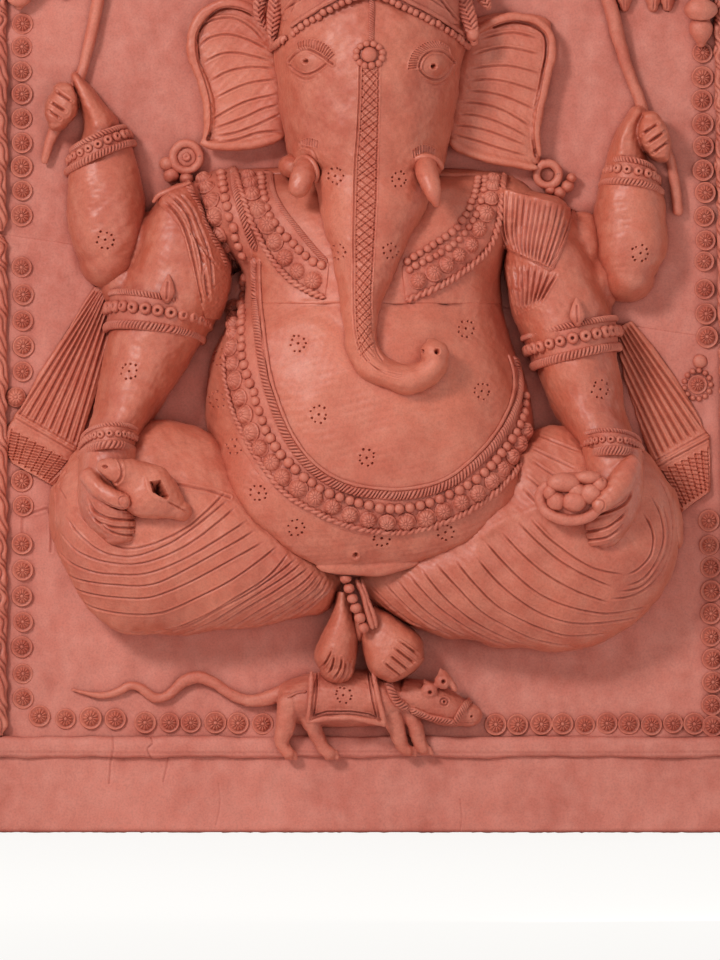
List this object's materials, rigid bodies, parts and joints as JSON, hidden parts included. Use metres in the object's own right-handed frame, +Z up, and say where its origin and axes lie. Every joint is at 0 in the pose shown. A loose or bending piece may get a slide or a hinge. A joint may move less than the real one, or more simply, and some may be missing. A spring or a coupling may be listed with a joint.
{
  "type": "terracotta wall relief panel",
  "caption": "Arched terracotta wall panel in high relief, a seated four-armed elephant-headed deity with a mouse, built of luted hollow clay pieces.",
  "frame": {"origin": "on the panel's back face, on the width's centre line, 600 mm above the bottom edge", "axes": "+X to the viewer's right, +Y into the wall, +Z up; the figure faces -Y"},
  "size_m": [0.908, 0.1974, 1.29],
  "materials": {
    "pale_clay": "matte, unglazed, dusty",
    "skin_clay": "satin burnished, unglazed",
    "trim_clay": "matte, unglazed"
  },
  "bodies": {
    "root": {"slab_lower": "pale_clay", "slab_upper": "pale_clay", "base_ridge": "pale_clay", "rope_left_lower": "trim_clay", "rope_left_upper": "trim_clay", "rope_right_lower": "trim_clay", "rope_right_upper": "trim_clay", "arch_border": "trim_clay", "rosettes_left_upper": "trim_clay", "rosettes_left_lower": "trim_clay", "rosettes_right_upper": "trim_clay", "rosettes_right_lower": "trim_clay", "rosettes_base_left": "trim_clay", "rosettes_base_right": "trim_clay", "pendant_left": "trim_clay", "pendant_right": "trim_clay", "belly": "skin_clay", "chest": "skin_clay", "leg_left": "skin_clay", "leg_right": "skin_clay", "rear_arm_left": "skin_clay", "rear_arm_right": "skin_clay", "front_arm_left": "skin_clay", "front_arm_right": "skin_clay", "foot_left": "skin_clay", "foot_right": "skin_clay", "waist_tassel": "trim_clay", "head": "skin_clay", "trunk": "skin_clay", "tusk_left": "skin_clay", "tusk_right": "skin_clay", "ear_left": "skin_clay", "ear_right": "skin_clay", "earring_left": "trim_clay", "earring_right": "trim_clay", "crown": "trim_clay", "headband": "trim_clay", "belly_garland": "trim_clay", "shoulder_garland": "trim_clay", "collar_left": "trim_clay", "collar_right": "trim_clay", "shoulder_cloth": "skin_clay", "sleeve": "skin_clay", "sash_left": "skin_clay", "sash_right": "skin_clay", "axe": "trim_clay", "goad": "trim_clay", "rear_hand_left": "skin_clay", "rear_hand_right": "skin_clay", "front_hand_left": "skin_clay", "front_hand_right": "skin_clay", "armlet_left": "trim_clay", "armlet_right": "trim_clay", "bangle_front_left": "trim_clay", "bangle_front_right": "trim_clay", "bangle_rear_left": "trim_clay", "bangle_rear_right": "trim_clay", "conch": "skin_clay", "bowl_of_sweets": "trim_clay", "mouse": "trim_clay"}
  },
  "joints": []
}
